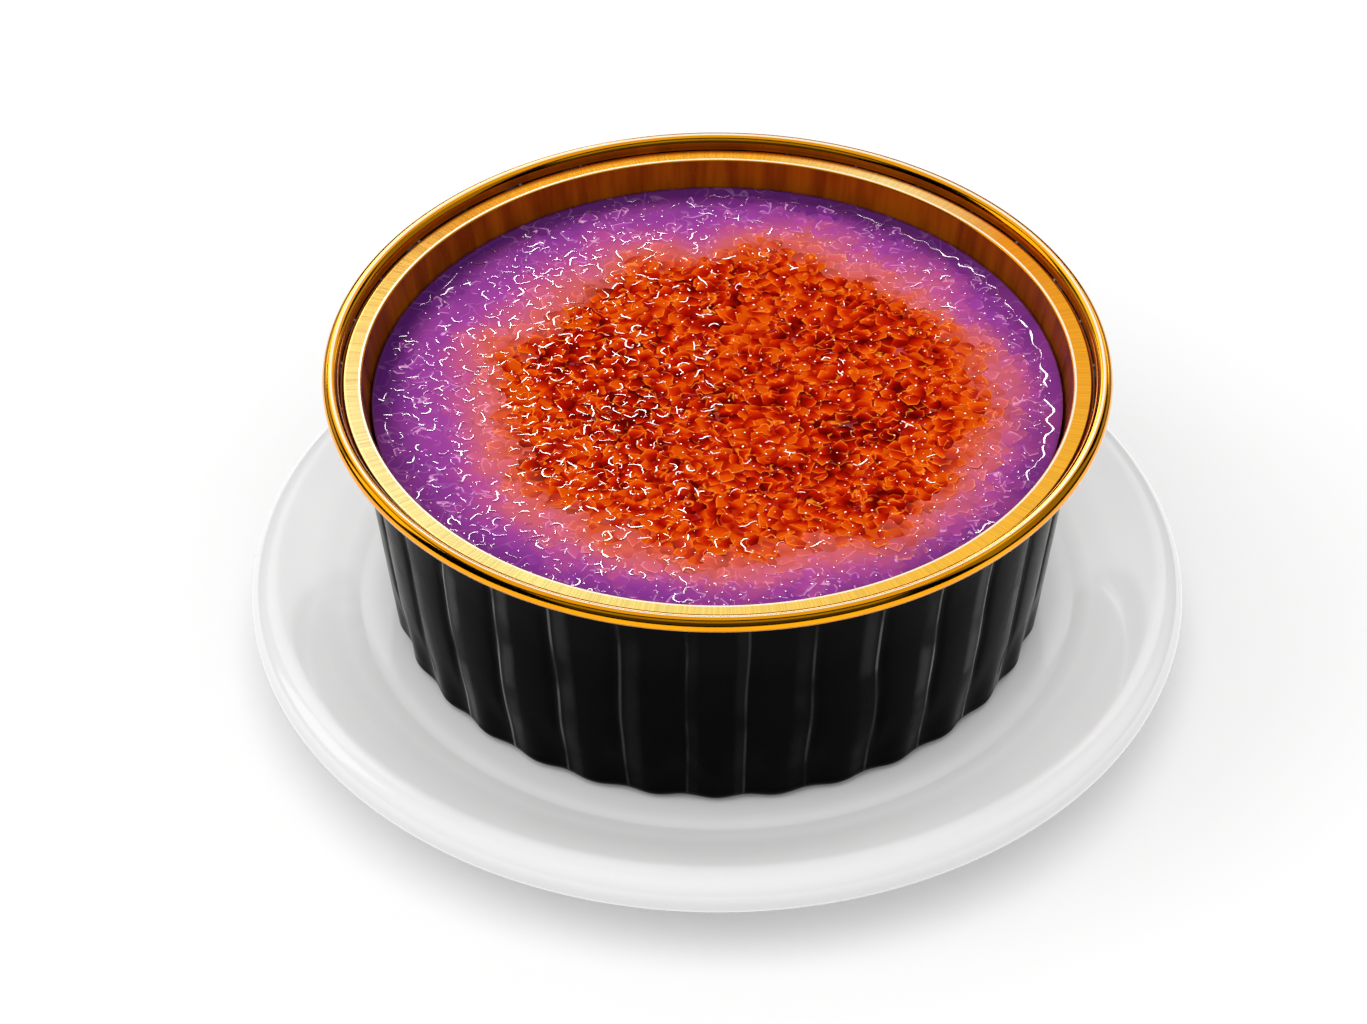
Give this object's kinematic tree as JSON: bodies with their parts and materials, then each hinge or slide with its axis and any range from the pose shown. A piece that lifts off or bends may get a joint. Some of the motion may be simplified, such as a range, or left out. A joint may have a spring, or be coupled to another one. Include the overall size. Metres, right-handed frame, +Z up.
{
  "type": "creme brulee",
  "caption": "Purple custard with a burnt caramel crust in a fluted black foil cup with a gold rolled rim, on a small round white saucer.",
  "frame": {"origin": "middle of the underside of the saucer's foot ring, on the table", "axes": "+Z up, -Y the front, +X to the right as seen from the front"},
  "size_m": [0.1222, 0.122, 0.0451],
  "materials": {
    "porcelain": "clear glossy glaze",
    "foil": "black lacquer outside, gold lacquer inside and on the rolled rim",
    "custard": "smooth purple custard under a glossy burnt sugar crust"
  },
  "bodies": {
    "root": {"saucer": "porcelain", "foil_cup": "foil", "custard": "custard"}
  },
  "joints": []
}
